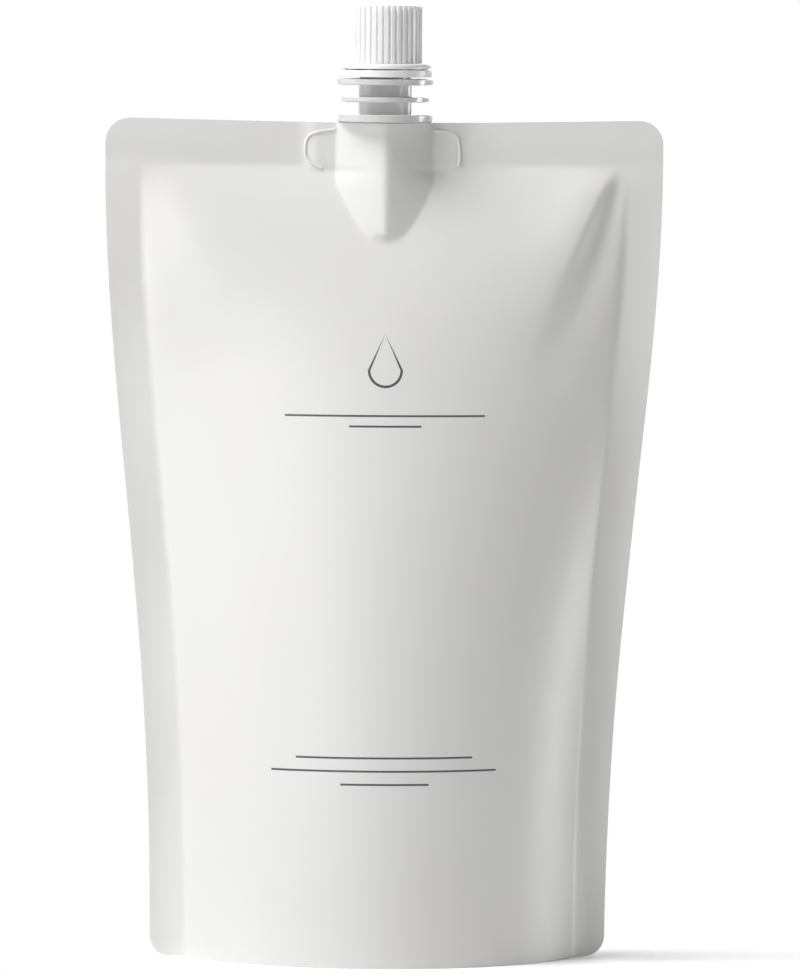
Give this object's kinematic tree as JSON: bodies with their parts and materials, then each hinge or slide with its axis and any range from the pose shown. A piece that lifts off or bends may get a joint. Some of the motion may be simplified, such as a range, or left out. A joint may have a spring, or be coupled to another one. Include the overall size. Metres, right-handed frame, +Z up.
{
  "type": "hand soap refill pack",
  "caption": "Filled stand-up film pouch for liquid hand soap with flat side and top seals, a folded bottom gusset and a centre pouring spout closed by a ribbed screw cap.",
  "frame": {"origin": "on the floor, under the middle of the pouch's base", "axes": "+Z up through the spout, +X to the viewer's right along the seals, the printed front faces -Y"},
  "size_m": [0.14, 0.0626, 0.2396],
  "materials": {
    "pearl_film": "satin pearl white laminated film",
    "natural_polyethylene": "natural, milky and see-through",
    "white_polypropylene": "white, moulded, satin",
    "liner_foam": "white foamed sealing disc"
  },
  "bodies": {
    "pack": {"pouch": "pearl_film", "spout": "natural_polyethylene", "tamper_band": "white_polypropylene"},
    "liner": {"cap_liner": "liner_foam"},
    "cap": {"cap": "white_polypropylene"}
  },
  "joints": [
    {"name": "cap_lift", "type": "slide", "parent": "pack", "child": "liner", "axis": [0, 0, 1], "range_m": [0, 0.0151]},
    {"name": "cap_turn", "type": "hinge", "parent": "liner", "child": "cap", "pos_m": [0, 0, 0.2306], "axis": [0, 0, 1], "range_deg": [0, 1800]}
  ],
  "couplings": [
    {"joint": "cap_lift", "follows": "cap_turn", "m_per_rad": 0.00047746}
  ]
}
